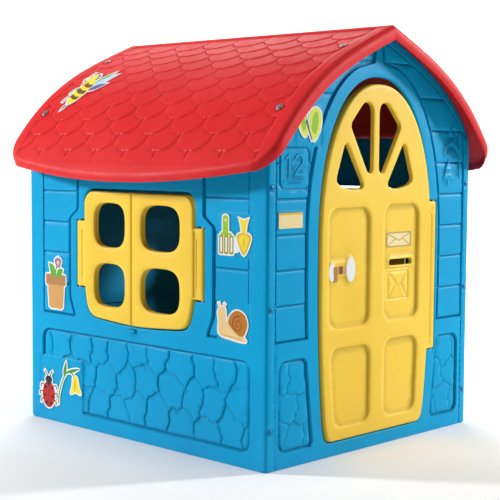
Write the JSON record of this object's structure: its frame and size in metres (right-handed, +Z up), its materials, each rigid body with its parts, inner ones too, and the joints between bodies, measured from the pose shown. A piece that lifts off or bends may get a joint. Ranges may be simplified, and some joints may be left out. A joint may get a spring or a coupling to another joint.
{
  "type": "plastic playhouse",
  "caption": "Moulded plastic garden playhouse with curved shingle roof, arched door with fan light and letter slot, and hinged window shutters.",
  "frame": {"origin": "on the ground, at the middle of the footprint", "axes": "+Z up; -Y faces out of the door gable; +X to the right as seen from the front"},
  "size_m": [1.0788, 1.138, 1.1999],
  "materials": {
    "wall_plastic": "satin moulded blue polypropylene",
    "roof_plastic": "satin moulded red polypropylene",
    "leaf_plastic": "satin moulded yellow polypropylene",
    "screw_plastic": "grey screw caps",
    "pin_plastic": "natural nylon",
    "sticker_film": "printed vinyl film"
  },
  "bodies": {
    "shell": {"bee_sticker": "sticker_film", "butterfly_sticker": "sticker_film", "corner_screw_front_left_1": "screw_plastic", "corner_screw_front_left_2": "screw_plastic", "corner_screw_front_left_3": "screw_plastic", "corner_screw_front_right_1": "screw_plastic", "corner_screw_front_right_2": "screw_plastic", "corner_screw_front_right_3": "screw_plastic", "corner_screw_rear_left_1": "screw_plastic", "corner_screw_rear_left_2": "screw_plastic", "corner_screw_rear_left_3": "screw_plastic", "corner_screw_rear_right_1": "screw_plastic", "corner_screw_rear_right_2": "screw_plastic", "corner_screw_rear_right_3": "screw_plastic", "door_hinge_pin_lower": "pin_plastic", "door_hinge_pin_upper": "pin_plastic", "flowerpot_sticker": "sticker_film", "front_wall": "wall_plastic", "garden_tools_sticker": "sticker_film", "label_sticker": "sticker_film", "ladybird_sticker": "sticker_film", "left_shutter_front_hinge_pin_lower": "pin_plastic", "left_shutter_front_hinge_pin_upper": "pin_plastic", "left_shutter_rear_hinge_pin_lower": "pin_plastic", "left_shutter_rear_hinge_pin_upper": "pin_plastic", "left_wall": "wall_plastic", "rear_wall": "wall_plastic", "right_shutter_front_hinge_pin_lower": "pin_plastic", "right_shutter_front_hinge_pin_upper": "pin_plastic", "right_shutter_rear_hinge_pin_lower": "pin_plastic", "right_shutter_rear_hinge_pin_upper": "pin_plastic", "right_wall": "wall_plastic", "roof_left": "roof_plastic", "roof_right": "roof_plastic", "roof_screw_left_front_1": "screw_plastic", "roof_screw_left_front_2": "screw_plastic", "roof_screw_left_rear_1": "screw_plastic", "roof_screw_left_rear_2": "screw_plastic", "roof_screw_right_front_1": "screw_plastic", "roof_screw_right_front_2": "screw_plastic", "roof_screw_right_rear_1": "screw_plastic", "roof_screw_right_rear_2": "screw_plastic", "snail_sticker": "sticker_film"},
    "door": {"door_leaf": "leaf_plastic", "letter_sticker": "sticker_film", "bolt_sticker": "sticker_film"},
    "left_front_leaf": {"left_shutter_front": "leaf_plastic"},
    "left_rear_leaf": {"left_shutter_rear": "leaf_plastic"},
    "right_front_leaf": {"right_shutter_front": "leaf_plastic"},
    "right_rear_leaf": {"right_shutter_rear": "leaf_plastic"}
  },
  "joints": [
    {"name": "door_hinge", "type": "hinge", "parent": "shell", "child": "door", "pos_m": [0.275, -0.509, 0.4775], "axis": [0, 0, 1], "range_deg": [0, 110]},
    {"name": "left_front_shutter_hinge", "type": "hinge", "parent": "shell", "child": "left_front_leaf", "pos_m": [-0.4535, -0.268, 0.535], "axis": [0, 0, 1], "range_deg": [0, 110]},
    {"name": "left_rear_shutter_hinge", "type": "hinge", "parent": "shell", "child": "left_rear_leaf", "pos_m": [-0.4535, 0.268, 0.535], "axis": [0, 0, -1], "range_deg": [0, 110]},
    {"name": "right_front_shutter_hinge", "type": "hinge", "parent": "shell", "child": "right_front_leaf", "pos_m": [0.4535, -0.268, 0.535], "axis": [0, 0, -1], "range_deg": [0, 110]},
    {"name": "right_rear_shutter_hinge", "type": "hinge", "parent": "shell", "child": "right_rear_leaf", "pos_m": [0.4535, 0.268, 0.535], "axis": [0, 0, 1], "range_deg": [0, 110]}
  ]
}
